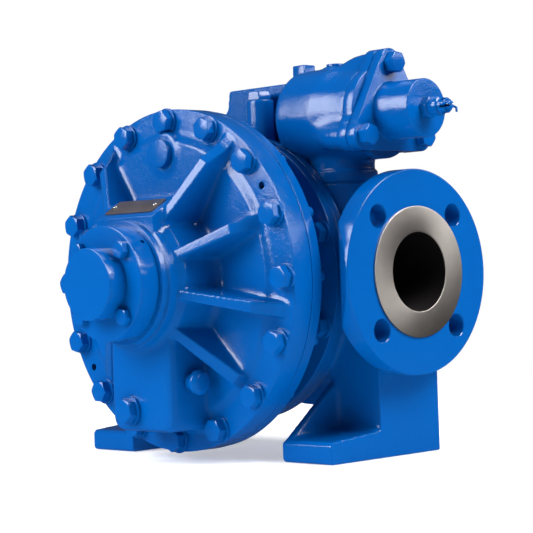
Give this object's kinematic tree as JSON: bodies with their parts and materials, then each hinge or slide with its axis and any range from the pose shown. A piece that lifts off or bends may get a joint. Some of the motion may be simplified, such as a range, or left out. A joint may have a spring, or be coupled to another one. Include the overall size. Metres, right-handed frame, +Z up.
{
  "type": "eccentric disc pump",
  "caption": "Positive displacement pump with ribbed bearing cover, two flanged side ports on feet and a relief valve with bypass on top, blue cast iron.",
  "frame": {"origin": "bottom centre of the bounding box, on the plane the feet stand on", "axes": "+X towards the relief valve's adjusting screw along the ports' line, +Y from the shaft end back to the rear cover, +Z up"},
  "size_m": [0.4322, 0.3256, 0.3745],
  "materials": {
    "enamel": "gloss",
    "plate": "satin",
    "gasket": "gloss"
  },
  "bodies": {
    "root": {"front_cover": "enamel", "bearing_bracket": "enamel", "bearing_collar": "enamel", "shaft_end_cap": "enamel", "drain_plug": "enamel", "oil_level_plug": "enamel", "pump_body": "enamel", "rear_cover": "enamel", "valve_body": "enamel", "valve_bonnet": "enamel", "lock_nut": "enamel", "adjusting_screw": "enamel", "square_plug": "enamel", "round_plug": "enamel", "bypass_duct": "enamel", "vent_plug": "enamel", "name_plate": "plate", "split_pin": "plate", "valve_gasket": "gasket", "duct_gasket": "gasket"}
  },
  "joints": []
}
